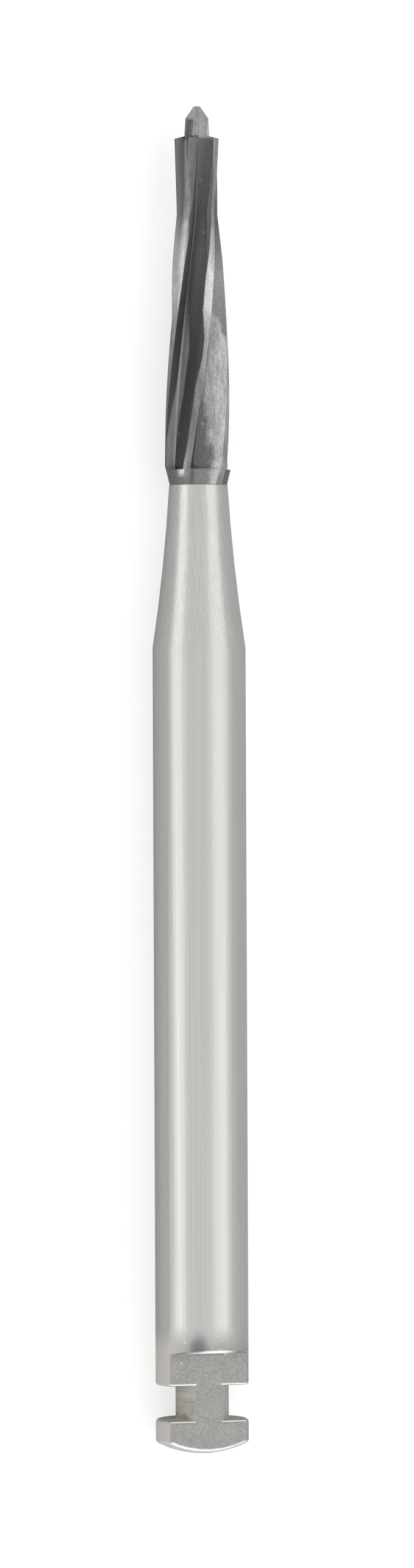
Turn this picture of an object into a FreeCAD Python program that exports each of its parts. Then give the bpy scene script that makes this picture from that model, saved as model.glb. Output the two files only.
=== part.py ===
# Dental bur for a right-angle handpiece, lying on its side with its drive flat upwards.
# A carbide head with a blunt pilot and five spiral flutes is brazed face to face on a steel
# shank, which is turned in one piece with its hollow neck and its latch end. Millimetres.
# The axis runs along Y, tip forwards; the origin is under the middle of the length.

import FreeCAD, Part
import math
import os
import Sketcher

from FreeCAD import Vector

doc = FreeCAD.newDocument("DentalBur")

# Driving dimensions

sizes = doc.addObject("Spreadsheet::Sheet", "Sizes")

DIMENSIONS = [
    ("overall_length", 34.0, "from the pilot's tip to the pole of the end disc"),
    ("shank_diameter", 2.35, "standard shank of the right-angle latch type"),
    ("flat_length", 2.55, "drive flat, measured from the end"),
    ("flat_height", 0.6, "drive flat, measured from the axis"),
    ("flat_run_out", 0.125, "how far the flat's end wall leans back towards the head"),
    ("groove_start", 0.88, "latch groove, near side, from the end"),
    ("groove_width", 0.857, "latch groove, along the axis"),
    ("groove_diameter", 1.345, "stem left inside the latch groove"),
    ("dome_radius", 2.5, "sphere of the end disc's outer face"),
    ("disc_round", 0.1, "rounding of the end disc's edges"),
    ("edge_round", 0.07, "rounding of the other edges at the latch end"),
    ("neck_length", 4.12, "hollow taper between shank and head"),
    ("neck_diameter", 1.476, "neck where it meets the head"),
    ("neck_hollow", 0.047, "how far the taper sinks below a straight cone"),
    ("head_length", 9.56, "carbide head with its pilot"),
    ("tip_diameter", 0.17, "small flat on the pilot's tip"),
    ("tip_length", 0.307, "cone of the pilot's tip"),
    ("pilot_front_diameter", 0.585, "pilot behind its cone"),
    ("pilot_rear_diameter", 0.635, "pilot where it meets the shoulder"),
    ("pilot_length", 0.75, "pilot with its cone"),
    ("shoulder_rise", 0.07, "how far the shoulder slopes back to its rim"),
    ("front_diameter", 1.131, "head at the shoulder's rim"),
    ("waist_diameter", 1.03, "head at its waist"),
    ("waist_place", 2.72, "waist, from the tip"),
    ("flare_diameter", 1.265, "head where the flare turns into the long curve"),
    ("flare_place", 3.84, "end of the flare, from the tip"),
    ("curve_rise", 0.04, "how far the long curve stands above its chord"),
    ("largest_diameter", 1.681, "head at its largest"),
    ("largest_place", 9.07, "largest diameter, from the tip"),
    ("rear_diameter", 1.445, "head at the braze, behind its rear chamfer"),
    ("flute_count", 5, "spiral flutes round the head"),
    ("flute_lead", 33.1, "length in which a flute turns once round"),
    ("flute_start", 0.354, "front of the flutes, from the tip"),
    ("flute_end", 9.18, "square end of the flutes, from the tip"),
    ("flute_depth", 0.26, "from the head's surface to the foot of the cutting face"),
    ("foot_round", 0.06, "rounding at the foot of the cutting face"),
    ("edge_turn", -2.7, "turn of one cutting edge at the tip, in degrees"),
    ("front_land", 0.27, "width of a land at the front"),
    ("rear_land", 0.2, "width of a land at the rear"),
    ("pilot_core", 0.272, "flats of the pilot, from the axis"),
    ("front_hollow", 0.055, "flute's back at the front, below its chord"),
    ("rear_crown", 0.025, "flute's back at the rear, above its chord"),
    ("cutter_overlap", 0.06, "how far a cut reaches out past the surface"),
]

for row, (alias, number, note) in enumerate(DIMENSIONS, start=1):
    sizes.set("A%d" % row, note)
    sizes.set("B%d" % row, str(number))
    sizes.setAlias("B%d" % row, alias)
doc.recompute()


# A length that knows both its number and the formula that ties it to the sheet

class Size:
    def __init__(self, number, formula):
        self.number = number
        self.formula = formula

    def __add__(self, other):
        other = as_size(other)
        return Size(self.number + other.number, "(%s + %s)" % (self.formula, other.formula))

    def __sub__(self, other):
        other = as_size(other)
        return Size(self.number - other.number, "(%s - %s)" % (self.formula, other.formula))

    def __mul__(self, other):
        other = as_size(other)
        return Size(self.number * other.number, "(%s * %s)" % (self.formula, other.formula))

    def __truediv__(self, other):
        other = as_size(other)
        return Size(self.number / other.number, "(%s / %s)" % (self.formula, other.formula))


def as_size(value):
    return value if isinstance(value, Size) else Size(float(value), repr(float(value)))


def size(alias):
    return Size(float(getattr(sizes, alias)), "Sizes." + alias)


def root(value):
    return Size(math.sqrt(value.number), "sqrt(%s)" % value.formula)


def sine(degrees):
    return Size(math.sin(math.radians(degrees.number)), "sin(%s)" % degrees.formula)


def cosine(degrees):
    return Size(math.cos(math.radians(degrees.number)), "cos(%s)" % degrees.formula)


def between(start, end, share):
    return start + (end - start) * share


# Sketch helpers: a corner is a pair of sizes, and a size of None lies on the axis

AXIS_ALONG, AXIS_ACROSS = range(-2, 0)
START, END, CENTRE = range(1, 4)


def point(corner):
    across, along = corner
    return Vector(across.number if across else 0, along.number if along else 0, 0)


def tie(sketch, kind, where, value):
    index = sketch.addConstraint(Sketcher.Constraint(kind, *where, value.number))
    sketch.setExpression("Constraints[%d]" % index, value.formula)


def pin(sketch, line, line_end, corner):
    across, along = corner
    if across is None:
        sketch.addConstraint(Sketcher.Constraint("PointOnObject", line, line_end, AXIS_ALONG))
    else:
        tie(sketch, "DistanceX", (AXIS_ACROSS, START, line, line_end), across)
    if along is None:
        sketch.addConstraint(Sketcher.Constraint("PointOnObject", line, line_end, AXIS_ACROSS))
    else:
        tie(sketch, "DistanceY", (AXIS_ACROSS, START, line, line_end), along)


def ends_of(sketch, edge, first):
    swapped = sketch.getPoint(edge, START).distanceToPoint(first) > 1e-6
    return (END, START) if swapped else (START, END)


def arc_middle(first, last, radius, side):
    """Middle of the arc that bulges to the right of the way from first to last, or to its left."""
    run = last - first
    rise = radius - math.sqrt(radius ** 2 - run.Length ** 2 / 4)
    right = Vector(run.y, -run.x, 0).normalize()
    return (first + last) / 2 + right * rise * side


def radius_of(first, last, rise):
    across = last[0] - first[0]
    along = last[1] - first[1]
    return (across * across + along * along) / (rise * 8) + rise / 2


def new_sketch(body, name, plane, offset=None, turn=None):
    sketch = body.newObject("Sketcher::SketchObject", name)
    support = next(f for f in body.Origin.OriginFeatures if f.Role == plane)
    sketch.AttachmentSupport = [(support, "")]
    sketch.MapMode = "FlatFace"
    if offset is not None:
        sketch.setExpression(".AttachmentOffset.Base.z", offset.formula)
    if turn is not None:
        sketch.setExpression(".AttachmentOffset.Rotation.Angle", turn.formula)
    return sketch


def draw_outline(sketch, corners, arcs):
    """Closed outline through the corners; arcs gives the radius and side of those that curve."""
    count = len(corners)
    edges = []
    for number in range(count):
        first, last = point(corners[number]), point(corners[(number + 1) % count])
        if number in arcs:
            radius, side = arcs[number]
            middle = arc_middle(first, last, radius.number, side)
            edge = sketch.addGeometry(Part.Arc(first, middle, last), False)
            tie(sketch, "Radius", (edge,), radius)
        else:
            edge = sketch.addGeometry(Part.LineSegment(first, last), False)
        edges.append((edge,) + ends_of(sketch, edge, first))
    for number in range(count):
        edge, edge_start, edge_end = edges[number]
        following, following_start, _ = edges[(number + 1) % count]
        join = Sketcher.Constraint("Coincident", edge, edge_end, following, following_start)
        sketch.addConstraint(join)
        pin(sketch, edge, edge_start, corners[number])


def revolve(body, sketch, name):
    feature = body.newObject("PartDesign::Revolution", name)
    feature.Profile = sketch
    feature.ReferenceAxis = (sketch, ["V_Axis"])
    feature.Angle = 360
    doc.recompute()
    return feature


# Shank: one turned piece, drawn from the pole of its end disc to the braze

shank_length = size("overall_length") - size("head_length")
shank_radius = size("shank_diameter") / 2
dome_radius = size("dome_radius")
dome_height = dome_radius - root(dome_radius * dome_radius - shank_radius * shank_radius)
groove_end = size("groove_start") + size("groove_width")
neck_start = (shank_radius, shank_length - size("neck_length"))
neck_end = (size("neck_diameter") / 2, shank_length)

shank = doc.addObject("PartDesign::Body", "shank")
shank.Label = "shank"
sketch = new_sketch(shank, "ShankOutline", "XY_Plane")
draw_outline(
    sketch,
    [
        (None, None),
        (shank_radius, dome_height),
        (shank_radius, size("groove_start")),
        (size("groove_diameter") / 2, size("groove_start")),
        (size("groove_diameter") / 2, groove_end),
        (shank_radius, groove_end),
        neck_start,
        neck_end,
        (None, shank_length),
    ],
    {
        0: (dome_radius, 1),
        6: (radius_of(neck_start, neck_end, size("neck_hollow")), -1),
    },
)
turned = revolve(shank, sketch, "Turned")

# Drive flat, milled over the end disc, the groove's stem and the shank's end. Its end wall
# leans back towards the head.

sketch = new_sketch(shank, "FlatOutline", "YZ_Plane")
flat_top = shank_radius + size("cutter_overlap")
draw_outline(
    sketch,
    [
        (None, size("flat_height")),
        (size("flat_length"), size("flat_height")),
        (size("flat_length") + size("flat_run_out"), flat_top),
        (None, flat_top),
    ],
    {},
)
flat = shank.newObject("PartDesign::Pocket", "DriveFlat")
flat.Profile = sketch
flat.Type = "ThroughAll"
flat.Midplane = True
doc.recompute()


# Rounded edges of the latch end: widely round the end disc, then finely along the groove's
# stem and round the shank's end. The inner corner of the flat's end wall stays sharp.

CLOSE = 1e-4


def is_outer(edge, box):
    reach = max(math.hypot(v.X, v.Z) for v in edge.Vertexes)
    on_rim = box.YMax - box.YMin < CLOSE and reach > shank_radius.number - CLOSE
    level = box.ZMax - box.ZMin < CLOSE
    on_flat = level and abs(box.ZMax - size("flat_height").number) < CLOSE
    at_latch = box.YMax < size("flat_length").number + CLOSE
    in_corner = box.YMin > size("flat_length").number - CLOSE
    return (on_flat or on_rim) and at_latch and not in_corner


def on_disc(box):
    return box.YMax < size("groove_start").number + CLOSE


def past_disc(box):
    return not on_disc(box)


def rounded_over(name, base, radius, wanted):
    edges = [
        "Edge%d" % number
        for number, edge in enumerate(base.Shape.Edges, start=1)
        if is_outer(edge, edge.BoundBox) and wanted(edge.BoundBox)
    ]
    feature = shank.newObject("PartDesign::Fillet", name)
    feature.Base = (base, edges)
    feature.setExpression("Radius", radius.formula)
    doc.recompute()
    return feature


softened = rounded_over("RoundedDisc", flat, size("disc_round"), on_disc)
rounded = rounded_over("RoundedEdges", softened, size("edge_round"), past_disc)
shank.Tip = rounded
doc.recompute()

# Carbide head: a ground blank, drawn from the braze to the tip

head_length = size("head_length")


def from_tip(distance):
    return head_length - distance


largest = (size("largest_diameter") / 2, from_tip(size("largest_place")))
flare = (size("flare_diameter") / 2, from_tip(size("flare_place")))
shoulder_place = size("pilot_length") + size("shoulder_rise")

head = doc.addObject("PartDesign::Body", "cutting_head")
head.Label = "cutting_head"
sketch = new_sketch(head, "HeadOutline", "XY_Plane")
draw_outline(
    sketch,
    [
        (None, None),
        (size("rear_diameter") / 2, None),
        largest,
        flare,
        (size("waist_diameter") / 2, from_tip(size("waist_place"))),
        (size("front_diameter") / 2, from_tip(shoulder_place)),
        (size("pilot_rear_diameter") / 2, from_tip(size("pilot_length"))),
        (size("pilot_front_diameter") / 2, from_tip(size("tip_length"))),
        (size("tip_diameter") / 2, head_length),
        (None, head_length),
    ],
    {2: (radius_of(largest, flare, size("curve_rise")), 1)},
)
blank = revolve(head, sketch, "GroundBlank")

# One flute: a cutting face that stands radially, a rounded foot and a long flat back, carried
# along the lead. Each station gives the section's place and the head's radius there. On the
# pilot the flute is a flat, whose knee lies close to the next land.


def stations(front_spans=3, curve_spans=4):
    start, waist = size("flute_start"), size("waist_place")
    for span in range(front_spans):
        share = span / front_spans
        radius = between(size("front_diameter"), size("waist_diameter"), share) / 2
        yield between(start, waist, share), radius
    yield waist, size("waist_diameter") / 2
    for span in range(curve_spans + 1):
        share = span / curve_spans
        radius = between(size("flare_diameter"), size("largest_diameter"), share) / 2
        rise = size("curve_rise") * (4 * share * (1 - share))
        yield between(size("flare_place"), size("flute_end"), share), radius + rise


def polar(radius, degrees):
    return (radius * sine(degrees), radius * cosine(degrees))


def flute_section(number, place, radius, knee_share=0.9):
    share = (place - size("flute_start")) / (size("flute_end") - size("flute_start"))
    land = between(size("front_land"), size("rear_land"), share)
    width = as_size(360) / size("flute_count") - land / radius * math.degrees(1)
    reach = radius + size("cutter_overlap")
    exit_corner = polar(reach, width)
    if number == 0:
        foot = size("pilot_core") / cosine(width / 2)
        knee = polar(foot, width * knee_share)
    else:
        foot = radius - size("flute_depth")
        stand_off = between(size("front_hollow") * -1, size("rear_crown"), share)
        lift = polar(stand_off, width / 2)
        knee = (exit_corner[0] / 2 + lift[0], (exit_corner[1] + foot) / 2 + lift[1])
    turn = place * 360 / size("flute_lead") - size("edge_turn")

    sketch = new_sketch(head, "FluteSection%d" % number, "XZ_Plane", place - head_length, turn)
    top, bottom = Vector(0, reach.number, 0), Vector(0, foot.number, 0)
    bend, out = point(knee), point(exit_corner)
    rounding = size("foot_round")
    floor = (bend - bottom).normalize()
    setback = rounding.number * (1 + floor.y) / floor.x
    face_end = bottom + Vector(0, setback, 0)
    floor_start = bottom + floor * setback
    middle = Vector(rounding.number, face_end.y, 0)
    corner_way = (bottom - middle).normalize()

    face = sketch.addGeometry(Part.LineSegment(top, face_end), False)
    corner = Part.Arc(face_end, middle + corner_way * rounding.number, floor_start)
    corner = sketch.addGeometry(corner, False)
    floor_line = sketch.addGeometry(Part.LineSegment(floor_start, bend), False)
    back = sketch.addGeometry(Part.LineSegment(bend, out), False)
    over = arc_middle(out, top, reach.number, 1)
    closing = sketch.addGeometry(Part.Arc(out, over, top), False)
    mark = sketch.addGeometry(Part.Point(bottom), True)

    corner_first, corner_last = ends_of(sketch, corner, face_end)
    closing_first, closing_last = ends_of(sketch, closing, out)
    pin(sketch, face, START, (None, reach))
    pin(sketch, back, START, knee)
    tie(sketch, "DistanceY", (AXIS_ACROSS, START, back, END), exit_corner[1])
    pin(sketch, mark, START, (None, foot))
    for kind, *where in [
        ("PointOnObject", face, END, AXIS_ALONG),
        ("Coincident", floor_line, END, back, START),
        ("Coincident", back, END, closing, closing_first),
        ("Coincident", closing, closing_last, face, START),
        ("Coincident", closing, CENTRE, AXIS_ACROSS, START),
        ("PointOnObject", mark, START, floor_line),
        ("Tangent", face, END, corner, corner_first),
        ("Tangent", corner, corner_last, floor_line, START),
    ]:
        sketch.addConstraint(Sketcher.Constraint(kind, *where))
    tie(sketch, "Radius", (corner,), rounding)
    return sketch


sections = [flute_section(number, *station) for number, station in enumerate(stations())]
doc.recompute()
flute = head.newObject("PartDesign::SubtractiveLoft", "Flute")
flute.Profile = sections[0]
flute.Sections = sections[1:]
flute.Ruled = False
doc.recompute()

flutes = head.newObject("PartDesign::PolarPattern", "Flutes")
flutes.Originals = [flute]
axis = next(f for f in head.Origin.OriginFeatures if f.Role == "Y_Axis")
flutes.Axis = (axis, [""])
flutes.Angle = 360
flutes.setExpression("Occurrences", "Sizes.flute_count")
head.Tip = flutes
doc.recompute()

# Both pieces lie on the shank, and meet face to face at the braze

lying = shank_radius.formula
rear_end = (size("overall_length") / 2) * -1
braze = rear_end + shank_length
for body, along in [(shank, rear_end), (head, braze)]:
    body.setExpression(".Placement.Base.y", along.formula)
    body.setExpression(".Placement.Base.z", lying)
doc.recompute()

# Every object is sound, and every cut has taken metal away

for item in doc.Objects:
    if "Invalid" in item.State or "Error" in item.State:
        raise RuntimeError("%s failed: %s" % (item.Name, item.getStatusString()))
cuts = [(turned, flat), (flat, softened), (softened, rounded), (blank, flute), (flute, flutes)]
for before, after in cuts:
    if after.Shape.Volume > before.Shape.Volume - CLOSE:
        raise RuntimeError("%s cut nothing" % after.Name)
for body in (shank, head):
    shape = body.Shape
    if shape.isNull() or not shape.isValid() or len(shape.Solids) != 1:
        raise RuntimeError("%s is not one sound solid" % body.Label)

os.makedirs("parts", exist_ok=True)
for body in (shank, head):
    body.Shape.exportStep("parts/%s.step" % body.Label)
    print(body.Label, "%.3f mm3" % body.Shape.Volume)
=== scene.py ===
# Dental bur lying on a pale floor: a carbide head with a blunt pilot and five spiral flutes,
# brazed on a steel shank with a latch end. Metres; the axis runs along Y, tip forwards.

import math
import bpy
import mathutils
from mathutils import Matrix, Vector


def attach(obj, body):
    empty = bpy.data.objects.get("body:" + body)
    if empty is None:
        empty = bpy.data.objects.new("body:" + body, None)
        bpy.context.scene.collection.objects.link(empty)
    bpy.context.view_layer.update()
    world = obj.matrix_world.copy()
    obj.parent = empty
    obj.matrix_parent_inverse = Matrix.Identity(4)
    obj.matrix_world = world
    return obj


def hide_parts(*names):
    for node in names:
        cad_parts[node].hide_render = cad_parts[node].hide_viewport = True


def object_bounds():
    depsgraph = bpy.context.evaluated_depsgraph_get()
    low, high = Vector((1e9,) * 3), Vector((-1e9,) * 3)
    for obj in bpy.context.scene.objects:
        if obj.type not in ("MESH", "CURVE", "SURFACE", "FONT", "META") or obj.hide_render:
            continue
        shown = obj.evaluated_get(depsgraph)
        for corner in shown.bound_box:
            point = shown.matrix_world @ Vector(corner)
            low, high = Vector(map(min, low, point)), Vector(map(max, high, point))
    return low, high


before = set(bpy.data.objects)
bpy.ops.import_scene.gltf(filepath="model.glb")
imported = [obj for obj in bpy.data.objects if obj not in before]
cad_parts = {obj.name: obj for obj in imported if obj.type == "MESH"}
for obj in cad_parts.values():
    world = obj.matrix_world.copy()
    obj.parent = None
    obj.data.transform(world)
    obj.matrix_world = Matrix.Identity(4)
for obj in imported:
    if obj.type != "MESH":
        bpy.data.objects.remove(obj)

cad_box = [list(corner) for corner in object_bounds()]
scene = bpy.context.scene

# Shank of stainless steel, ground along its length and left satin; the latch end is turned
# and milled in the same piece, blasted matt, and stained in its groove where water stood.

MILLIMETRE = 0.001
HAIR = 0.01 * MILLIMETRE
REAR_END = cad_box[0][1]
SHANK_RADIUS = 1.175 * MILLIMETRE
FLAT_LENGTH = 2.55 * MILLIMETRE
FLAT_HEIGHT = 1.775 * MILLIMETRE
FLAT_END = REAR_END + FLAT_LENGTH
BLASTED_LENGTH = 3.4 * MILLIMETRE
DRIVER_LENGTH = 3.0 * MILLIMETRE
DISC_EDGE = REAR_END + 0.88 * MILLIMETRE
GROOVE_WIDTH = 0.857 * MILLIMETRE
STAIN_MIDDLE = REAR_END + 1.05 * MILLIMETRE
SMEAR_MIDDLE = (-0.41 * MILLIMETRE, REAR_END + 2.72 * MILLIMETRE, 2.27 * MILLIMETRE)
SMEAR_SHAPE = (0.8, 0.5, 0.3)
EDGE_ROUND = 0.05 * MILLIMETRE
WALL_LEAN = 1.1
EDGE_LINE_RISE = 0.024 * MILLIMETRE
GRAIN_DEPTH = 0.002 * MILLIMETRE
BLAST_GRAINS = 24000.0
CLOUDS = 3000.0
STAIN_SPOTS = 2600.0
LATHE_LINES = (300.0, 26000.0, 300.0)
NICK_SHIFT = (0.011, 0.023, 0.037)

GROUND_STEEL = (0.735, 0.731, 0.71, 1.0)
STREAK_STEEL = (0.615, 0.611, 0.593, 1.0)
LATCH_STEEL = (0.655, 0.653, 0.632, 1.0)
DULL_STEEL = (0.33, 0.328, 0.318, 1.0)
SIDE_HIGHLIGHT_STEEL = (0.74, 0.715, 0.68, 1.0)
WALL_SHADE_STEEL = (0.36, 0.36, 0.355, 1.0)
RUBBED_HIGHLIGHT_STEEL = (0.93, 0.93, 0.94, 1.0)
EDGE_HIGHLIGHT_STEEL = (0.85, 0.85, 0.85, 1.0)
NICK_GLINT_STEEL = (0.95, 0.95, 0.95, 1.0)
TURNED_STEEL = (0.88, 0.83, 0.75, 1.0)
TURNED_LINE = (0.26, 0.255, 0.235, 1.0)
SMEAR_GREY = (0.2, 0.21, 0.23, 1.0)
STAIN_BROWN = (0.42, 0.27, 0.2, 1.0)
PIT_BROWN = (0.2, 0.19, 0.18, 1.0)

GROUND_ROUGH = 0.3
GLINT_ROUGH = 0.2
LATCH_ROUGH = 0.72
RUBBED_ROUGH = 0.33
EDGE_LINE_ROUGH = 0.5
NICK_ROUGH = 0.35
CLOUD_SHARE = 0.16
SMEAR_SHARE = 0.75
TURNED_SHARE = 0.28
STAIN_SHARE = 0.9
WALL_LINE_SHARE = 0.6


class Wiring:
    """A node tree under construction: nodes are made with their settings and inputs at once."""

    def __init__(self, tree):
        self.tree = tree

    def node(self, kind, inputs=(), **settings):
        made = self.tree.nodes.new(kind)
        for name, value in settings.items():
            setattr(made, name, value)
        for key, value in dict(inputs).items():
            self.feed(made.inputs[key], value)
        return made

    def feed(self, socket, value):
        if isinstance(value, bpy.types.NodeSocket):
            self.tree.links.new(value, socket)
        else:
            socket.default_value = value

    def feed_enabled(self, node, inputs):
        """Feeds inputs whose names several sockets share, of which one is in use."""
        for label, value in inputs.items():
            self.feed(next(i for i in node.inputs if i.name == label and i.enabled), value)

    def math(self, operation, *values, clamp=False):
        made = self.node("ShaderNodeMath", enumerate(values), operation=operation)
        made.use_clamp = clamp
        return made.outputs[0]

    def times(self, *factors):
        product = factors[0]
        for factor in factors[1:]:
            product = self.math("MULTIPLY", product, factor)
        return product

    def minus(self, value, taken):
        return self.math("SUBTRACT", value, taken)

    def without(self, mask):
        """1 where the mask is 0, and 0 where it is 1."""
        return self.minus(1.0, mask)

    def above(self, value, limit):
        """1 where the value is over the limit, and 0 elsewhere."""
        return self.math("GREATER_THAN", value, limit)

    def below(self, value, limit):
        return self.math("LESS_THAN", value, limit)

    def unsigned(self, value):
        return self.math("ABSOLUTE", value)

    def split(self, vector):
        """The three numbers of a vector."""
        return self.node("ShaderNodeSeparateXYZ", {"Vector": vector}).outputs

    def joined(self, x=0.0, y=0.0, z=0.0):
        """The vector of three numbers."""
        return self.node("ShaderNodeCombineXYZ", {"X": x, "Y": y, "Z": z}).outputs[0]

    def vector(self, operation, *values):
        made = self.node("ShaderNodeVectorMath", enumerate(values), operation=operation)
        return made.outputs["Value" if operation == "LENGTH" else "Vector"]

    def scaled(self, vector, factor):
        made = self.node("ShaderNodeVectorMath", {0: vector, "Scale": factor}, operation="SCALE")
        return made.outputs["Vector"]

    def ramp(self, value, start, end, low=0.0, high=1.0, smooth=False):
        kind = "SMOOTHSTEP" if smooth else "LINEAR"
        inputs = {"Value": value, "From Min": start, "From Max": end, "To Min": low, "To Max": high}
        return self.node("ShaderNodeMapRange", inputs, interpolation_type=kind).outputs["Result"]

    def between(self, value, start, end, soft):
        """1 where the value lies between start and end, and 0 a soft step outside them."""
        opening = self.ramp(value, start - soft, start + soft)
        closing = self.ramp(value, end - soft, end + soft, 1.0, 0.0)
        return self.times(opening, closing)

    def profile(self, value, points):
        """A curve of straight pieces through the points, level before and after them."""
        result = points[0][1]
        for (start, low), (end, high) in zip(points, points[1:]):
            result = self.math("ADD", result, self.ramp(value, start, end, 0.0, high - low))
        return result

    def blend(self, mask, first, second):
        made = self.node("ShaderNodeMix", data_type="RGBA")
        self.feed_enabled(made, {"Factor": mask, "A": first, "B": second})
        return made.outputs["Result"]

    def mix(self, share, first, second):
        made = self.node("ShaderNodeMix", data_type="FLOAT")
        self.feed_enabled(made, {"Factor": share, "A": first, "B": second})
        return made.outputs["Result"]

    def painted(self, colour, layers):
        """The colour with each layer's colour over it in turn, where the layer's mask is."""
        for mask, over in layers:
            colour = self.blend(mask, colour, over)
        return colour

    def layered(self, value, layers):
        """The same for plain values."""
        for mask, over in layers:
            value = self.mix(mask, value, over)
        return value

    def noise(self, vector, scale, detail=2.0, roughness=0.5):
        inputs = {"Vector": vector, "Scale": scale, "Detail": detail, "Roughness": roughness}
        return self.node("ShaderNodeTexNoise", inputs).outputs["Fac"]


def effect_group(name, inputs, outputs):
    """An empty shader group with value inputs (name: default) and named value outputs."""
    group = bpy.data.node_groups.new(name, "ShaderNodeTree")
    group.interface.new_socket("Vector", in_out="INPUT", socket_type="NodeSocketVector")
    for label, default in inputs.items():
        socket = group.interface.new_socket(label, in_out="INPUT", socket_type="NodeSocketFloat")
        socket.default_value = default
    for label in outputs:
        group.interface.new_socket(label, in_out="OUTPUT", socket_type="NodeSocketFloat")
    wiring = Wiring(group)
    given = wiring.node("NodeGroupInput").outputs
    result = wiring.node("NodeGroupOutput").inputs
    return group, wiring, given, result


# Marks of a grinding wheel: long faint streaks, short lines that glint one by one, and grit
grinding, wiring, given, result = effect_group(
    "grinding_marks",
    {"Across": 20000.0, "Along": 400.0, "Grit": 90000.0},
    ["Streak", "Glint", "Grit"],
)
stretch = wiring.joined(given["Across"], given["Along"], given["Across"])
lengthwise = wiring.vector("MULTIPLY", given["Vector"], stretch)
streak = wiring.noise(lengthwise, 1.0, 3.0, 0.6)
glint = wiring.noise(wiring.scaled(lengthwise, 4.3), 1.0, 1.0)
grit = wiring.noise(given["Vector"], given["Grit"], 2.0)
wiring.feed(result["Streak"], wiring.ramp(streak, 0.3, 0.7))
wiring.feed(result["Glint"], wiring.ramp(glint, 0.35, 0.65))
wiring.feed(result["Grit"], wiring.ramp(grit, 0.3, 0.7))

# Traces of use: a few small pits, and fine scratches that bend a little
PITTED_CELLS = 0.72
SCRATCH_WIDTH = 0.012

use_marks, wiring, given, result = effect_group(
    "use_marks",
    {"Pits": 2600.0, "Scratches": 1500.0, "Amount": 1.0},
    ["Pit", "Scratch"],
)
cells = wiring.node(
    "ShaderNodeTexVoronoi",
    {"Vector": given["Vector"], "Scale": given["Pits"], "Randomness": 1.0},
).outputs
chance = wiring.node("ShaderNodeSeparateColor", {"Color": cells["Color"]}).outputs[0]
pit = wiring.ramp(cells["Distance"], 0.05, 0.16, 1.0, 0.0)
pit = wiring.times(pit, wiring.above(chance, PITTED_CELLS))
wander = wiring.noise(given["Vector"], wiring.times(given["Scratches"], 0.4))
wander = wiring.scaled(wiring.joined(wander, wander), 2.2)
slanted = wiring.node(
    "ShaderNodeMapping",
    {"Vector": given["Vector"], "Rotation": (0.4, 0.5, 0.65), "Scale": (1.0, 0.09, 1.0)},
).outputs[0]
slanted = wiring.vector("ADD", wiring.scaled(slanted, given["Scratches"]), wander)
line = wiring.unsigned(wiring.minus(wiring.noise(slanted, 1.0, 0.0), 0.5))
rare = wiring.ramp(wiring.noise(given["Vector"], given["Scratches"], 0.0), 0.5, 0.62)
scratch = wiring.times(wiring.ramp(line, 0.0, SCRATCH_WIDTH, 1.0, 0.0), rare)
wiring.feed(result["Pit"], wiring.times(pit, given["Amount"]))
wiring.feed(result["Scratch"], wiring.times(scratch, given["Amount"]))


def new_material(name):
    material = bpy.data.materials.new(name)
    material.use_nodes = True
    material.node_tree.nodes.clear()
    wiring = Wiring(material.node_tree)
    shader = wiring.node("ShaderNodeBsdfPrincipled")
    output = wiring.node("ShaderNodeOutputMaterial")
    wiring.feed(output.inputs["Surface"], shader.outputs["BSDF"])
    return material, wiring, shader.inputs


def effect(wiring, group, vector, **values):
    made = wiring.node("ShaderNodeGroup", node_tree=group)
    wiring.feed(made.inputs["Vector"], vector)
    for label, value in values.items():
        made.inputs[label].default_value = value
    return made.outputs


steel, wiring, shader = new_material("satin_steel")
place = wiring.node("ShaderNodeTexCoord").outputs["Object"]
facing = wiring.node("ShaderNodeTexCoord").outputs["Normal"]
across, along, height = wiring.split(place)
sideways, lengthways, _ = wiring.split(facing)
off_axis = wiring.unsigned(across)
marks = effect(wiring, grinding, place, Across=28000.0, Along=55.0, Grit=70000.0)
wear = effect(wiring, use_marks, place, Pits=2400.0, Scratches=1400.0)

latch = wiring.ramp(along, REAR_END + BLASTED_LENGTH, FLAT_END, smooth=True)
ground_part = wiring.without(latch)
in_groove = wiring.between(along, DISC_EDGE, DISC_EDGE + GROOVE_WIDTH, 2 * HAIR)
cloud = wiring.ramp(wiring.noise(place, CLOUDS, 4.0, 0.6), 0.35, 0.65)
speckle = wiring.times(marks["Grit"], wiring.math("MULTIPLY_ADD", latch, 0.25, 0.05))
blasted = wiring.ramp(wiring.noise(place, BLAST_GRAINS, 3.0, 0.7), 0.38, 0.62, 0.0, 0.55)
# Painted highlight: the latch's sides that face left are painted lighter
left_side_highlight = wiring.times(
    wiring.ramp(sideways, -0.5, -0.85), latch, wiring.without(in_groove)
)

# Edges that look towards the end are rubbed by the handpiece's driver and carry a painted
# highlight, the flat's end wall only in its middle; the wall's two ends carry painted shade
wall = wiring.times(wiring.above(along, FLAT_END - HAIR), wiring.below(lengthways, -0.7))
wall_end_shade = wiring.ramp(off_axis, 0.3 * MILLIMETRE, 0.75 * MILLIMETRE, smooth=True)
wall_end_shade = wiring.times(wall, wall_end_shade)
rubbed_highlight = wiring.times(
    wiring.ramp(lengthways, -0.12, -0.35),
    wiring.below(along, REAR_END + DRIVER_LENGTH),
    wiring.without(wall_end_shade),
)

# A thin line on the disc's edge before the groove, left and right of the stem, is raised a
# little in the bump and is a painted highlight
beside_stem = wiring.times(
    wiring.ramp(off_axis, 0.31 * MILLIMETRE, 0.37 * MILLIMETRE, smooth=True),
    wiring.below(along, DISC_EDGE + 10 * HAIR),
    wiring.above(height, FLAT_HEIGHT - 3 * HAIR),
)
disc_edge_highlight = wiring.between(along, DISC_EDGE - 6 * HAIR, DISC_EDGE - 3 * HAIR, HAIR / 2)
disc_edge_highlight = wiring.times(disc_edge_highlight, beside_stem)

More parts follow.
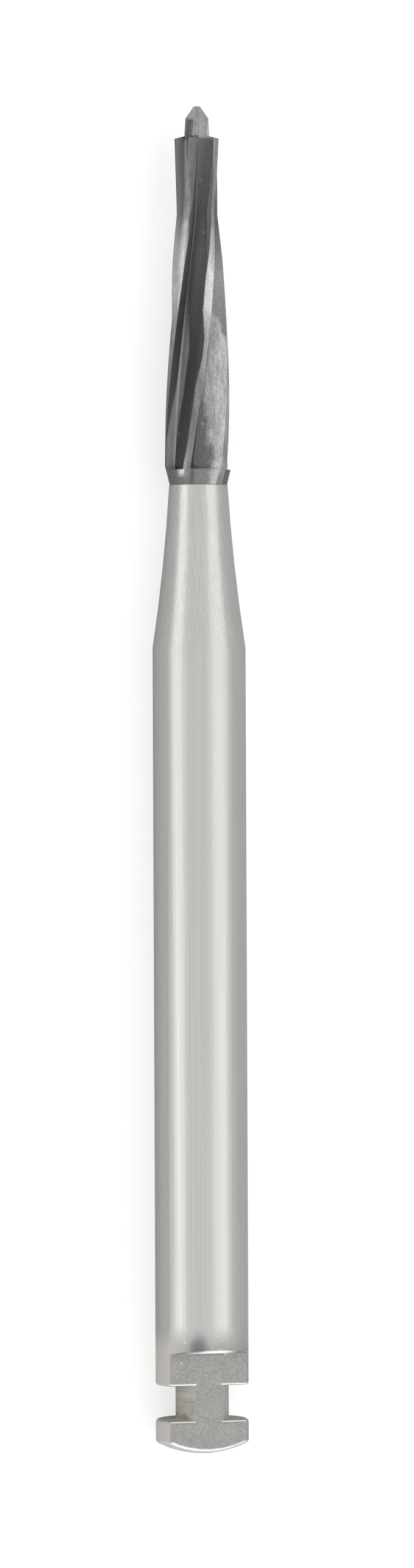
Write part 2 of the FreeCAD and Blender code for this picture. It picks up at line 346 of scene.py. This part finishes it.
# A dark smear on the crown, ahead of the flat's end wall
smear_place = wiring.vector("SUBTRACT", place, SMEAR_MIDDLE)
smear_reach = wiring.vector("LENGTH", wiring.vector("MULTIPLY", smear_place, SMEAR_SHAPE))
smear = wiring.ramp(smear_reach, 0.26 * MILLIMETRE, 0.03 * MILLIMETRE, smooth=True)
smear = wiring.times(smear, wiring.above(along, FLAT_END))

# Stem of the groove: fine turning lines, and a brown stain left of the flat
stem = wiring.times(in_groove, wiring.below(height, FLAT_HEIGHT - 2 * HAIR))
lathe = wiring.noise(wiring.vector("MULTIPLY", place, LATHE_LINES), 1.0, 2.0, 0.6)
lathe = wiring.ramp(lathe, 0.4, 0.8, 0.0, 0.3)
stain = wiring.times(
    stem,
    wiring.ramp(across, -0.1 * MILLIMETRE, -0.4 * MILLIMETRE),
    wiring.ramp(wiring.noise(place, STAIN_SPOTS, 4.0, 0.7), 0.42, 0.62),
    wiring.ramp(wiring.unsigned(wiring.minus(along, STAIN_MIDDLE)), 0.0, 40 * HAIR, 1.0, 0.1),
)

# A brown line lies along the foot of the end wall, and small nicks on the latch end are
# painted near white as glints
at_wall = wiring.times(
    wiring.between(along, FLAT_END - 4 * HAIR, FLAT_END - HAIR, HAIR / 2),
    wiring.ramp(off_axis, 50 * HAIR, 30 * HAIR),
)
aside = wiring.vector("ADD", place, NICK_SHIFT)
nick_glint = effect(wiring, use_marks, aside, Pits=3300.0, Scratches=1400.0)["Pit"]
nick_glint = wiring.times(nick_glint, wiring.math("SUBTRACT", latch, in_groove, clamp=True))

colour = wiring.painted(GROUND_STEEL, [
    (wiring.times(marks["Streak"], ground_part), STREAK_STEEL),
    (latch, LATCH_STEEL),
    (wiring.times(cloud, latch, CLOUD_SHARE), DULL_STEEL),
    (speckle, DULL_STEEL),
    (wiring.times(blasted, latch), DULL_STEEL),
    (left_side_highlight, SIDE_HIGHLIGHT_STEEL),
    (wall_end_shade, WALL_SHADE_STEEL),
    (rubbed_highlight, RUBBED_HIGHLIGHT_STEEL),
    (disc_edge_highlight, EDGE_HIGHLIGHT_STEEL),
    (wiring.times(smear, SMEAR_SHARE), SMEAR_GREY),
    (wiring.times(stem, TURNED_SHARE), TURNED_STEEL),
    (wiring.times(stem, lathe), TURNED_LINE),
    (wiring.times(stain, STAIN_SHARE), STAIN_BROWN),
    (wiring.times(at_wall, WALL_LINE_SHARE), STAIN_BROWN),
    (wiring.times(wear["Pit"], latch), PIT_BROWN),
    (nick_glint, NICK_GLINT_STEEL),
])
rough = wiring.ramp(marks["Glint"], 0.6, 0.95, GROUND_ROUGH, GLINT_ROUGH)
rough = wiring.layered(rough, [
    (latch, LATCH_ROUGH),
    (rubbed_highlight, RUBBED_ROUGH),
    (disc_edge_highlight, EDGE_LINE_ROUGH),
    (nick_glint, NICK_ROUGH),
])
rough = wiring.math("MULTIPLY_ADD", marks["Grit"], 0.06, rough)
rough = wiring.minus(rough, wiring.times(wear["Scratch"], 0.06))
wiring.feed(shader["Base Color"], colour)
wiring.feed(shader["Roughness"], rough)
shader["Metallic"].default_value = 1.0

relief = wiring.times(marks["Streak"], ground_part, 0.25)
grit_depth = wiring.math("MULTIPLY_ADD", latch, 0.9, 0.1)
relief = wiring.math("MULTIPLY_ADD", marks["Grit"], grit_depth, relief)
relief = wiring.minus(relief, wiring.times(wear["Scratch"], 0.3))
relief = wiring.minus(relief, wiring.times(wear["Pit"], 2.0))
softened = wiring.node("ShaderNodeBevel", {"Radius": EDGE_ROUND}, samples=6).outputs["Normal"]

# The flat's end wall is hollow, so that it leans back more than its straight solid does
hollow = wiring.times(wall, height, -WALL_LEAN)
rise = wiring.ramp(along, DISC_EDGE - 6.5 * HAIR, DISC_EDGE - 3 * HAIR, 0.0, EDGE_LINE_RISE)
hollow = wiring.math("MULTIPLY_ADD", rise, beside_stem, hollow)
hollow = wiring.node("ShaderNodeBump", {"Distance": 1.0, "Height": hollow, "Normal": softened})
bump = wiring.node(
    "ShaderNodeBump",
    {"Strength": 0.3, "Distance": GRAIN_DEPTH, "Height": relief, "Normal": hollow.outputs[0]},
)
wiring.feed(shader["Normal"], bump.outputs["Normal"])

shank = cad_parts["shank"]
shank.material_slots[0].material = steel

# Cutting head of tungsten carbide: a slim blank with a blunt pilot, into which a wheel has
# ground five right-hand flutes with upright cutting faces and long backs, hollow in front and
# crowned behind. They end squarely before the rear chamfer, where the head is brazed on.

TIP = cad_box[1][1]
FLUTES = 5
LEAD = 33.1 * MILLIMETRE
EDGE_TURN = -2.7
FLUTE_START = 0.354 * MILLIMETRE
FLUTE_END = 9.18 * MILLIMETRE
FIRST_SPAN = 0.789 * MILLIMETRE
WAIST_PLACE = 2.72 * MILLIMETRE
HEAD_LENGTH = 9.56 * MILLIMETRE
PILOT_RADIUS = 0.2954 * MILLIMETRE
FRONT_RADIUS = 0.5655 * MILLIMETRE
WAIST_RADIUS = 0.515 * MILLIMETRE
BELLY_RADIUS = 0.8405 * MILLIMETRE
END_RADIUS = 0.81405 * MILLIMETRE
CURVE_RISE = 0.04 * MILLIMETRE
PILOT_CORE = 0.272 * MILLIMETRE
PILOT_REACH = 0.6255 * MILLIMETRE
PILOT_KNEE = 0.9
SHARP_ANGLE = 14.0
WELD_DISTANCE = 0.0002 * MILLIMETRE

PILOT_LIGHT_TONE = 0.42
FAR_RIGHT_LIGHT_TONE = 0.75
BACK_SHADE_TONE = 0.15
COLLAR_TONE = 0.24
CRESCENT_HIGHLIGHT_TONE = 0.8
END_WALL_LIGHT_TONE = 0.45
PIT_TONE = 0.5
BLUE_SHARE = 1.015
CUT_ROUGH = 0.5
LAND_ROUGH = 0.33
FROST_ROUGH = 0.55
FROST_PATCHES = 1700.0
FROST_GRAINS = 7000.0
LAND_PATCHES = 5200.0

# The blank's outline from the tip to the braze: place, radius, and how many rows of faces
# lead up to it. The flutes' square ends are two corners at one place.
OUTLINE = [
    (0.0, 0.0, 0),
    (0.0, 0.085 * MILLIMETRE, 2),
    (0.307 * MILLIMETRE, 0.2925 * MILLIMETRE, 6),
    (FLUTE_START, PILOT_RADIUS, 2),
    (FLUTE_START, PILOT_RADIUS, 1),
    (0.75 * MILLIMETRE, 0.3175 * MILLIMETRE, 12),
    (0.82 * MILLIMETRE, FRONT_RADIUS, 10),
    (WAIST_PLACE, WAIST_RADIUS, 44),
    (3.84 * MILLIMETRE, 0.6325 * MILLIMETRE, 26),
    (9.07 * MILLIMETRE, BELLY_RADIUS, 110),
    (FLUTE_END, END_RADIUS, 4),
    (FLUTE_END, END_RADIUS, 1),
    (HEAD_LENGTH, 0.7225 * MILLIMETRE, 6),
    (HEAD_LENGTH, 0.0, 2),
]
CUT_CORNERS = range(4, 11)
SECTION_SPANS = (6, 8, 22, 8)

blank_rows = [(0.0, 0.0, 0.0)]
for number, (corner_place, corner_radius, rows) in enumerate(OUTLINE):
    last_place, last_radius, _ = OUTLINE[number - 1]
    for row in range(1, rows + 1):
        share = row / rows
        bow = 4 * CURVE_RISE * share * (1 - share) if corner_radius == BELLY_RADIUS else 0.0
        blank_rows.append((
            last_place + (corner_place - last_place) * share,
            last_radius + (corner_radius - last_radius) * share + bow,
            float(number in CUT_CORNERS),
        ))
columns = [
    span + step / steps for span, steps in enumerate(SECTION_SPANS) for step in range(steps)
] + [float(len(SECTION_SPANS))]


def grid_faces(rows, columns):
    """The faces of a grid whose points are listed row by row."""
    starts = [row * columns + column for row in range(rows - 1) for column in range(columns - 1)]
    return [(start, start + 1, start + columns + 1, start + columns) for start in starts]


# The flat strip that the tree bends: across it the section, along it the place, up the radius
points = [(column, place, radius) for place, radius, _ in blank_rows for column in columns]
cuts = [cut for *_, cut in blank_rows for _ in columns]
blank_mesh = bpy.data.meshes.new("blank_strip")
blank_mesh.from_pydata(points, [], grid_faces(len(blank_rows), len(columns)))
blank_mesh.attributes.new("cut", "FLOAT", "POINT").data.foreach_set("value", cuts)

# Its material reads where each point is on its tooth: the section runs from 0 to 1 down the
# cutting face, to 2 round the foot, to 3 up the back and to 4 over the land
carbide, wiring, shader = new_material("ground_carbide")
tooth_marks = wiring.node("ShaderNodeAttribute", attribute_name="tooth_marks").outputs["Vector"]
section, place_back, tooth = wiring.split(tooth_marks)
place = wiring.node("ShaderNodeTexCoord").outputs["Object"]
wheel = effect(wiring, grinding, tooth_marks, Across=30.0, Along=300.0)
grain = effect(wiring, grinding, place, Across=40000.0, Along=40000.0, Grit=30000.0)
wear = effect(wiring, use_marks, place, Pits=2300.0, Scratches=2400.0, Amount=0.45)


def from_tip(points):
    """A level that changes with the distance from the tip, which is given in millimetres."""
    return wiring.profile(place_back, [(back * MILLIMETRE, level) for back, level in points])


def on_tooth(number):
    return wiring.math("COMPARE", tooth, number, 0.5)


# From above four teeth show: the last on the left, the first in the middle, the second with
# its frosted back beside it, and the third at the far right
first, second, third, last = on_tooth(0.0), on_tooth(1.0), on_tooth(2.0), on_tooth(4.0)
# Painted shade: stretches of the first and last lands keep the darker gullet tone at one edge
land_shade_start = wiring.times(first, from_tip([
    (1.0, 0.0), (1.9, 0.4), (2.9, 0.52), (3.6, 0.3), (4.4, 0.0), (5.2, 0.0),
    (5.9, 0.5), (6.4, 0.5), (7.1, 0.18), (8.5, 0.2), (9.1, 0.0),
]))
land_shade_end = wiring.times(last, from_tip([(2.3, 0.0), (2.9, 0.24), (3.6, 0.27), (4.5, 0.0)]))
land = wiring.times(
    wiring.ramp(wiring.minus(section, land_shade_start), 2.96, 3.06),
    wiring.ramp(wiring.math("ADD", section, land_shade_end), 3.97, 4.05, 1.0, 0.0),
)

# The gullets are dull, and their dark tone also paints the shade in the flutes; the lighter
# tones on the pilot, some cutting faces and feet, and whole teeth paint light on each tooth
dull_and_shade_tone = from_tip([(1.2, 0.19), (2.5, 0.17), (4.0, 0.13), (5.0, 0.11), (6.5, 0.085), (8.5, 0.1)])
# Painted light: the pilot, first and second faces, far right, last and second teeth are lighter
on_pilot = wiring.times(first, from_tip([(0.78, 1.0), (0.84, 0.0)]))
face_tone = from_tip([(1.0, 0.24), (3.0, 0.22), (5.0, 0.2), (6.0, 0.26), (7.2, 0.38), (8.2, 0.24)])
first_face = wiring.times(
    first, wiring.ramp(section, 1.2, 0.9), from_tip([(0.8, 0.0), (0.9, 1.0)])
)
first_face_tone = from_tip([(1.0, 0.46), (3.0, 0.36), (4.4, 0.24), (5.6, 0.12)])
second_face = wiring.times(
    second, wiring.ramp(section, 2.1, 1.9), from_tip([(6.5, 0.0), (7.5, 1.0)])
)
second_face_tone = from_tip([(6.5, 0.3), (8.0, 0.75)])
far_right = wiring.times(third, from_tip([(5.8, 0.0), (6.8, 1.0)]))
foot_start = from_tip([(5.6, 1.3), (6.4, 1.2), (7.0, 1.0), (7.6, 0.6), (8.4, 0.1)])
foot_end = from_tip([(5.0, 2.05), (6.15, 2.38), (7.3, 2.31), (8.5, 2.02), (9.16, 1.3)])
# Painted light: the feet of every tooth but the second are lighter from 4.7 mm back
lit_foot = wiring.times(
    wiring.ramp(wiring.minus(section, foot_end), -0.1, 0.06, 1.0, 0.0),
    wiring.ramp(wiring.minus(section, foot_start), -0.1, 0.15),
    from_tip([(4.7, 0.0), (5.8, 1.0)]),
    wiring.without(second),
)
lit_foot_tone = from_tip([(5.5, 0.3), (7.0, 0.4), (8.4, 0.34)])
far_left = wiring.times(last, from_tip([(0.8, 0.0), (0.9, 1.0)]))
far_left_tone = from_tip([(1.0, 0.34), (2.7, 0.32), (3.6, 0.5), (4.8, 0.5), (5.8, 0.28)])
dark_start = from_tip([(1.0, 2.64), (1.9, 2.68), (2.6, 2.4), (3.2, 2.3)])
# Painted shade: the last tooth's back is dark up to 3.4 mm from the tip
back_shade = wiring.times(
    wiring.ramp(wiring.minus(section, dark_start), -0.07, 0.07),
    from_tip([(2.9, 1.0), (3.4, 0.0)]),
)
near_right = wiring.times(second, wiring.ramp(section, 2.12, 2.0))
near_right_tone = from_tip([(4.4, 0.14), (5.3, 0.42), (6.8, 0.42), (7.5, 0.18)])
gullet = wiring.layered(dull_and_shade_tone, [
    (on_pilot, PILOT_LIGHT_TONE),
    (wiring.ramp(section, 0.9, 0.5), face_tone),
    (first_face, first_face_tone),
    (second_face, second_face_tone),
    (far_right, FAR_RIGHT_LIGHT_TONE),
    (lit_foot, lit_foot_tone),
    (far_left, wiring.mix(back_shade, far_left_tone, BACK_SHADE_TONE)),
    (near_right, near_right_tone),
])

# One back carries a frosted patch, where the wheel has spared the sintered skin; that back's
# lighter tone and the patch's level are also a painted reflection
ragged = wiring.minus(wiring.noise(place, FROST_PATCHES, 4.0, 0.65), 0.5)
ragged = wiring.math("MULTIPLY_ADD", ragged, 1.1, section)
patch_start = from_tip([(6.9, 1.85), (9.1, 2.62)])
patch_end = from_tip([(4.7, 1.9), (6.2, 3.1)])
second_back = wiring.times(second, wiring.ramp(section, 2.0, 2.1))
frost_and_sheen = wiring.times(
    second_back,
    wiring.ramp(wiring.minus(ragged, patch_start), -0.16, 0.16, smooth=True),
    wiring.ramp(wiring.minus(patch_end, ragged), -0.16, 0.16, smooth=True),
)
back_sheen_tone = from_tip([(3.0, 0.16), (4.3, 0.38), (5.2, 0.3), (6.5, 0.2), (9.0, 0.2), (9.2, 0.27)])
drawn = wiring.vector("MULTIPLY", place, (1.0, 0.3, 1.0))
mottled_sheen = wiring.ramp(wiring.noise(drawn, FROST_GRAINS, 4.0, 0.7), 0.3, 0.7, 0.7, 1.3)
mottled_sheen = wiring.times(mottled_sheen, wiring.ramp(section, 2.05, 2.85, 0.36, 0.62))

# The lands are polished by use, and their tone is a painted highlight, lighter on each over
# the stretches where it catches the light
land_highlight_tone = from_tip([
    (0.75, 0.4), (0.85, 0.2), (2.2, 0.22), (3.0, 0.34), (4.3, 0.5), (5.2, 0.48),
    (6.5, 0.38), (7.8, 0.27), (9.0, 0.3),
])
for mask, highlight_stretches in (
    (first, [(0.8, 0.3), (2.2, 0.2), (2.8, 0.1), (4.0, 0.2), (4.8, 0.2), (5.6, 0.0)]),
    (last, [(2.8, 0.0), (3.7, 0.28), (4.6, 0.25), (5.6, 0.05)]),
    (second, [(5.4, 0.0), (6.0, 0.3), (8.0, 0.3), (9.0, 0.1)]),
):
    land_highlight_tone = wiring.math("ADD", land_highlight_tone, wiring.times(mask, from_tip(highlight_stretches)))
patchy = wiring.ramp(wiring.noise(drawn, LAND_PATCHES, 4.0, 0.65), 0.3, 0.7, 0.7, 1.25)

# The cone at the tip, the plain collar, a painted highlight in a crescent where the first land
# runs out, and the second flute's end wall, painted light
on_cone = from_tip([(0.31, 1.0), (0.36, 0.0)])
cone_tone = from_tip([(0.28, 0.58), (0.32, 0.42)])
collar = from_tip([(9.17, 0.0), (9.19, 1.0)])
plain = wiring.times(collar, wiring.without(second), wiring.without(land))
crescent_highlight = wiring.times(
    first,
    from_tip([(9.17, 0.0), (9.2, 1.0), (9.26, 0.9), (9.4, 0.0)]),
    wiring.ramp(section, 2.66, 2.86),
    wiring.ramp(section, 3.25, 3.08),
)
end_wall = from_tip([(9.172, 0.0), (9.177, 1.0), (9.183, 1.0), (9.188, 0.0)])

tone = wiring.layered(gullet, [
    (second_back, back_sheen_tone),
    (frost_and_sheen, mottled_sheen),
    (land, wiring.times(land_highlight_tone, patchy)),
    (on_cone, cone_tone),
    (plain, COLLAR_TONE),
    (crescent_highlight, CRESCENT_HIGHLIGHT_TONE),
    (wiring.times(second, end_wall), END_WALL_LIGHT_TONE),
])
tone = wiring.times(tone, wiring.math("MULTIPLY_ADD", wheel["Streak"], -0.22, 1.11))
tone = wiring.times(tone, wiring.math("MULTIPLY_ADD", grain["Grit"], -0.34, 1.17))
tone = wiring.mix(wear["Pit"], tone, PIT_TONE)
cool_grey = {0: tone, 1: tone, 2: wiring.times(tone, BLUE_SHARE)}
wiring.feed(shader["Base Color"], wiring.node("ShaderNodeCombineColor", cool_grey).outputs[0])
rough = wiring.layered(CUT_ROUGH, [(land, LAND_ROUGH), (frost_and_sheen, FROST_ROUGH), (collar, CUT_ROUGH)])
wiring.feed(shader["Roughness"], wiring.math("MULTIPLY_ADD", grain["Grit"], 0.08, rough))
shader["Metallic"].default_value = 1.0
relief = wiring.math("MULTIPLY_ADD", wheel["Streak"], 0.8, grain["Grit"])
bump = wiring.node(
    "ShaderNodeBump", {"Strength": 0.25, "Distance": GRAIN_DEPTH, "Height": relief}
)
wiring.feed(shader["Normal"], bump.outputs["Normal"])

# The tree bends the flat strip into one tooth and its flute, and repeats it round the axis
fluting = bpy.data.node_groups.new("spiral_fluting", "GeometryNodeTree")
fluting.interface.new_socket("Geometry", in_out="INPUT", socket_type="NodeSocketGeometry")
FLUTE_SIZES = {
    "Lead": LEAD,
    "Edge Turn": math.radians(EDGE_TURN),
    "Front Depth": 0.26 * MILLIMETRE,
    "Rear Depth": 0.26 * MILLIMETRE,
    "Front Land": 0.27 * MILLIMETRE,
    "Rear Land": 0.2 * MILLIMETRE,
    "Front Crown": -0.055 * MILLIMETRE,
    "Rear Crown": 0.025 * MILLIMETRE,
    "Foot Round": 0.06 * MILLIMETRE,
    "Axis Height": SHANK_RADIUS,
    "Tip Place": TIP,
}
for label, default in FLUTE_SIZES.items():
    socket = fluting.interface.new_socket(label, in_out="INPUT", socket_type="NodeSocketFloat")
    socket.default_value = default
socket = fluting.interface.new_socket("Flutes", in_out="INPUT", socket_type="NodeSocketInt")
socket.default_value = FLUTES
fluting.interface.new_socket("Finish", in_out="INPUT", socket_type="NodeSocketMaterial")
fluting.interface.new_socket("Geometry", in_out="OUTPUT", socket_type="NodeSocketGeometry")

wiring = Wiring(fluting)
given = wiring.node("NodeGroupInput").outputs
section, place_back, radius = wiring.split(wiring.node("GeometryNodeInputPosition").outputs[0])


def read(name, data_type):
    kind = "GeometryNodeInputNamedAttribute"
    return wiring.node(kind, {"Name": name}, data_type=data_type).outputs["Attribute"]


def stored(geometry, name, value, data_type, domain):
    kind = "GeometryNodeStoreNamedAttribute"
    made = wiring.node(kind, data_type=data_type, domain=domain)
    wiring.feed_enabled(made, {"Geometry": geometry, "Name": name, "Value": value})
    return made.outputs["Geometry"]


def point_between(share, start, end):
    reach = wiring.vector("SUBTRACT", end, start)
    return wiring.vector("ADD", start, wiring.scaled(reach, share))


def at_angle(distance, turn):
    direction = wiring.joined(x=wiring.math("SINE", turn), z=wiring.math("COSINE", turn))
    return wiring.scaled(direction, distance)


# The head's own radius along the flutes, also where the pilot is thinner
rearward = wiring.ramp(place_back, FLUTE_START, FLUTE_END)
front_taper = wiring.ramp(place_back, FLUTE_START, WAIST_PLACE, FRONT_RADIUS, WAIST_RADIUS)
full = wiring.math("MAXIMUM", radius, front_taper)
depth = wiring.mix(rearward, given["Front Depth"], given["Rear Depth"])
land_width = wiring.mix(rearward, given["Front Land"], given["Rear Land"])
pitch = wiring.math("DIVIDE", 2 * math.pi, given["Flutes"])
flute_angle = wiring.minus(pitch, wiring.math("DIVIDE", land_width, full))
foot_radius = wiring.minus(full, depth)

# The flute's section: down the cutting face, round its foot, up the back, and over the land
top, foot, leave = wiring.joined(z=full), wiring.joined(z=foot_radius), at_angle(full, flute_angle)
chord = wiring.vector("SUBTRACT", leave, foot)
chord_across, _, chord_up = wiring.split(chord)
outward = wiring.joined(x=wiring.times(chord_up, -1.0), z=chord_across)
outward = wiring.vector("NORMALIZE", outward)
crown = wiring.mix(rearward, given["Front Crown"], given["Rear Crown"])
foot_share = wiring.math("DIVIDE", given["Foot Round"], wiring.vector("LENGTH", chord))


def on_back(way):
    bulge = wiring.times(way, wiring.minus(4.0, wiring.times(way, 4.0)))
    straight = wiring.vector("ADD", foot, wiring.scaled(chord, way))
    return wiring.vector("ADD", straight, wiring.scaled(outward, wiring.times(crown, bulge)))


face_end = wiring.joined(z=wiring.math("ADD", foot_radius, given["Foot Round"]))
back_start = on_back(foot_share)
down_face = wiring.ramp(section, 0.0, 1.0)
round_foot = wiring.ramp(section, 1.0, 2.0)
on_face = point_between(down_face, top, face_end)
in_foot = point_between(
    round_foot,
    point_between(round_foot, face_end, foot),
    point_between(round_foot, foot, back_start),
)
climb = on_back(wiring.mix(wiring.ramp(section, 2.0, 3.0), foot_share, 1.0))
over = at_angle(full, wiring.mix(wiring.ramp(section, 3.0, 4.0), flute_angle, pitch))

# On the pilot the same cut is a flat, whose far end turns up close to the next land
half_cosine = wiring.math("COSINE", wiring.math("DIVIDE", flute_angle, 2.0))
flat_foot = wiring.math("DIVIDE", PILOT_CORE, half_cosine)
knee = at_angle(flat_foot, wiring.times(flute_angle, PILOT_KNEE))
flat = point_between(wiring.ramp(section, 2.0, 2.8), wiring.joined(z=flat_foot), knee)
flat = point_between(wiring.ramp(section, 2.8, 3.0), flat, at_angle(PILOT_REACH, flute_angle))
rising = point_between(down_face, top, wiring.joined(z=flat_foot))


def switched(limit, before, after):
    """One point before the limit in the section, and another after it."""
    return point_between(wiring.above(section, limit), before, after)


pilot_cut = switched(2.0, rising, flat)
flute_cut = switched(2.0, switched(1.0, on_face, in_foot), climb)
run_in = wiring.ramp(place_back, FLUTE_START, FLUTE_START + FIRST_SPAN)
shaped = switched(3.0, point_between(run_in, pilot_cut, flute_cut), over)
within = wiring.math("MINIMUM", wiring.vector("LENGTH", shaped), radius)
within = wiring.mix(read("cut", "FLOAT"), radius, within)
shaped = wiring.scaled(wiring.vector("NORMALIZE", shaped), within)

# The lead turns each section about the axis; the tip comes to the front
lead_turn = wiring.times(wiring.math("DIVIDE", place_back, given["Lead"]), -2 * math.pi)
lead_turn = wiring.math("ADD", lead_turn, given["Edge Turn"])
shaped = wiring.node(
    "ShaderNodeVectorRotate", {"Vector": shaped, "Angle": lead_turn}, rotation_type="Y_AXIS"
).outputs[0]
forwards = wiring.joined(y=wiring.minus(given["Tip Place"], place_back))
shaped = wiring.vector("ADD", shaped, forwards)

strip_place = wiring.joined(section, place_back)
marked = stored(given["Geometry"], "tooth_marks", strip_place, "FLOAT_VECTOR", "CORNER")
tooth_shape = wiring.node("GeometryNodeSetPosition", {"Geometry": marked, "Position": shaped})
turns = wiring.node("GeometryNodePoints", {"Count": given["Flutes"]})
tooth_number = wiring.node("GeometryNodeInputIndex").outputs[0]
teeth = wiring.node(
    "GeometryNodeInstanceOnPoints",
    {
        "Points": turns.outputs[0],
        "Instance": tooth_shape.outputs["Geometry"],
        "Rotation": wiring.joined(y=wiring.times(tooth_number, pitch)),
    },
)
numbered = stored(teeth.outputs["Instances"], "tooth", tooth_number, "FLOAT", "INSTANCE")
whole = wiring.node("GeometryNodeRealizeInstances", {"Geometry": numbered}).outputs["Geometry"]
full_marks = wiring.vector(
    "ADD", read("tooth_marks", "FLOAT_VECTOR"), wiring.joined(z=read("tooth", "FLOAT"))
)
whole = stored(whole, "tooth_marks", full_marks, "FLOAT_VECTOR", "CORNER")
bend = wiring.node("GeometryNodeInputMeshEdgeAngle").outputs["Unsigned Angle"]
soft_edge = wiring.below(bend, math.radians(SHARP_ANGLE))
for kind, inputs, settings in (
    ("GeometryNodeTransform", {"Translation": wiring.joined(z=given["Axis Height"])}, {}),
    ("GeometryNodeMergeByDistance", {"Distance": WELD_DISTANCE}, {}),
    ("GeometryNodeSetShadeSmooth", {}, {}),
    ("GeometryNodeSetShadeSmooth", {"Shade Smooth": soft_edge}, {"domain": "EDGE"}),
    ("GeometryNodeRealizeInstances", {}, {}),
    ("GeometryNodeSetMaterial", {"Material": given["Finish"]}, {}),
):
    made = wiring.node(kind, {"Geometry": whole, **inputs}, **settings)
    whole = made.outputs["Geometry"]
wiring.feed(wiring.node("NodeGroupOutput").inputs["Geometry"], whole)


def made_by(tree, base_mesh, name, **values):
    """A plain mesh object: what the tree makes of the base mesh with these inputs."""
    maker = bpy.data.objects.new(name, base_mesh)
    scene.collection.objects.link(maker)
    modifier = maker.modifiers.new("rule", "NODES")
    modifier.node_group = tree
    for item in tree.interface.items_tree:
        if item.in_out == "INPUT" and item.name in values:
            modifier[item.identifier] = values[item.name]
    evaluated = maker.evaluated_get(bpy.context.evaluated_depsgraph_get())
    made = bpy.data.meshes.new_from_object(evaluated)
    maker.modifiers.clear()
    maker.data = made
    return maker


head = made_by(fluting, blank_mesh, "fluted_head", Finish=carbide)
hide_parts("cutting_head")
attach(head, "root")

# Floor of matt white paper, on which the bur lies and casts its shadow, with the studio round
# it: long soft lamps hung beside the bur, one at its foot, and the camera above, leaning left.

FLOOR_REACH = 5.0
FLOOR_WHITE = (0.64, 0.64, 0.64, 1.0)
FLOOR_FLECK = (0.62, 0.62, 0.62, 1.0)
FLOOR_GLOW = 0.58
LAMP_DISTANCE = 1.5
LAMP_LENGTH = 3.0
STUDIO_WHITE = (1.0, 1.0, 1.0, 1.0)
STUDIO_GLOW = 0.42

sides = (-FLOOR_REACH, FLOOR_REACH)
floor_mesh = bpy.data.meshes.new("floor")
floor_mesh.from_pydata([(x, y, 0.0) for y in sides for x in sides], [], [(0, 1, 3, 2)])
floor = bpy.data.objects.new("floor", floor_mesh)
scene.collection.objects.link(floor)
paper, wiring, shader = new_material("floor_paper")
flecks = wiring.noise(wiring.node("ShaderNodeTexCoord").outputs["Object"], 900.0, 3.0)
wiring.feed(shader["Base Color"], wiring.blend(flecks, FLOOR_WHITE, FLOOR_FLECK))
shader["Roughness"].default_value = 0.9
shader["Specular IOR Level"].default_value = 0.0
ray = wiring.node("ShaderNodeLightPath").outputs
seen = wiring.math("MAXIMUM", ray["Is Camera Ray"], ray["Is Transmission Ray"])
shader["Emission Color"].default_value = STUDIO_WHITE
wiring.feed(shader["Emission Strength"], wiring.times(seen, FLOOR_GLOW))
floor_mesh.materials.append(paper)

world = bpy.data.worlds.new("studio")
world.use_nodes = True
background = world.node_tree.nodes["Background"]
background.inputs["Color"].default_value = STUDIO_WHITE
background.inputs["Strength"].default_value = STUDIO_GLOW
scene.world = world


def soft_lamp(name, tilt, turn, wide, tall, radiance):
    """An even panel at LAMP_DISTANCE: from overhead it tilts towards -Y, then turns towards +X."""
    lamp = bpy.data.lights.new(name, "AREA")
    lamp.shape = "RECTANGLE"
    lamp.size = wide
    lamp.size_y = tall
    lamp.energy = radiance * math.pi * wide * tall
    holder = bpy.data.objects.new(name, lamp)
    holder.rotation_euler = (math.radians(tilt), math.radians(turn), 0.0)
    holder.location = holder.rotation_euler.to_matrix() @ mathutils.Vector((0, 0, LAMP_DISTANCE))
    holder.visible_camera = False
    scene.collection.objects.link(holder)


def strip_lamp(name, start, end, radiance):
    """A panel along the bur that fills the angles from start to end, from +Z towards +X."""
    wide = 2 * LAMP_DISTANCE * math.tan(math.radians(end - start) / 2)
    soft_lamp(name, 0.0, (start + end) / 2, wide, LAMP_LENGTH, radiance)


strip_lamp("overhead_lamp", -60.0, 57.5, 0.35)
strip_lamp("right_lamp", 15.0, 57.5, 0.4)
strip_lamp("left_lamp", -89.5, -60.0, 0.9)
strip_lamp("low_lamp", 57.5, 88.0, 0.2)
soft_lamp("foot_lamp", 62.0, 0.0, wide=1.5, tall=1.3, radiance=0.8)

# The camera looks down along a slant, turned a little, with the bur's middle off the picture's
VIEW_SLANT = math.radians(16.5)
VIEW_DISTANCE = 0.19
VIEW_TURN = math.radians(-0.24)
LENS_PER_METRE = 130.0 / 0.143
SEEN_RIGHT = -0.187 * MILLIMETRE
SEEN_UP = 0.108 * MILLIMETRE

backwards = mathutils.Vector((-math.sin(VIEW_SLANT), 0.0, math.cos(VIEW_SLANT)))
rightwards = mathutils.Vector((math.cos(VIEW_SLANT), 0.0, math.sin(VIEW_SLANT)))
upwards = mathutils.Vector((0.0, 1.0, 0.0))
camera = bpy.data.objects.new("camera", bpy.data.cameras.new("camera"))
camera.data.lens = LENS_PER_METRE * VIEW_DISTANCE
camera.data.clip_start = 0.01
camera.data.clip_end = 20.0
looking = mathutils.Matrix((rightwards, upwards, backwards)).transposed()
looking = looking @ mathutils.Matrix.Rotation(VIEW_TURN, 3, "Z")
aim = mathutils.Vector((0.0, 0.0, SHANK_RADIUS)) - rightwards * SEEN_RIGHT - upwards * SEEN_UP
stand = mathutils.Matrix.Translation(aim + backwards * VIEW_DISTANCE)
camera.matrix_world = stand @ looking.to_4x4()
scene.collection.objects.link(camera)
scene.camera = camera
scene.view_settings.view_transform = "Standard"
